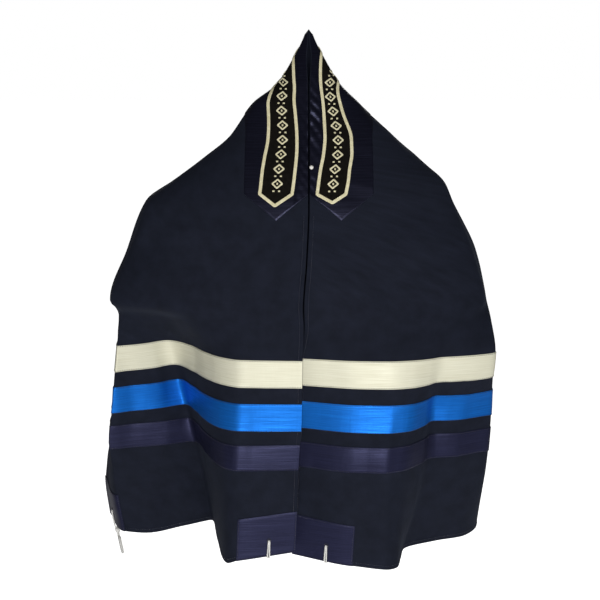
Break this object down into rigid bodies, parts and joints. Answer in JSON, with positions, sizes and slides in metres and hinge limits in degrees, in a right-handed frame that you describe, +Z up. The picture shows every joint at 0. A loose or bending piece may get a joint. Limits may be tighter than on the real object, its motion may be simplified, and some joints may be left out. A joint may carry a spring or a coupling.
{
  "type": "tallit prayer shawl",
  "caption": "Dark wool prayer shawl worn over the head, hollow, with cream, blue and navy silk stripes, a satin neck band, corner patches and white tassels.",
  "frame": {"origin": "inside of the peak, where the wearer's head holds the shawl", "axes": "+Z up, the front faces -Y, +X to the right of someone who faces the front"},
  "size_m": [0.7094, 0.3536, 0.966],
  "materials": {
    "wool": "matte wool twill",
    "cream_silk": "slubbed silk sheen",
    "blue_silk": "slubbed silk sheen",
    "navy_satin": "slubbed satin sheen",
    "cream_ribbon": "woven ribbon",
    "white_cord": "twisted wool cord",
    "white_bead": "gloss"
  },
  "bodies": {
    "root": {"shawl_cloth": "wool", "stripe_cream_left": "cream_silk", "stripe_cream_right": "cream_silk", "stripe_blue_left": "blue_silk", "stripe_blue_right": "blue_silk", "stripe_navy_left": "navy_satin", "stripe_navy_right": "navy_satin", "corner_patch_inner_left": "navy_satin", "corner_patch_inner_right": "navy_satin", "corner_patch_outer_left": "navy_satin", "corner_patch_outer_right": "navy_satin", "atarah_base": "navy_satin", "atarah_border": "cream_ribbon", "neck_bead": "white_bead", "tzitzit_inner_left": "white_cord", "tzitzit_inner_right": "white_cord", "tzitzit_outer_left": "white_cord", "tzitzit_outer_right": "white_cord"}
  },
  "joints": []
}
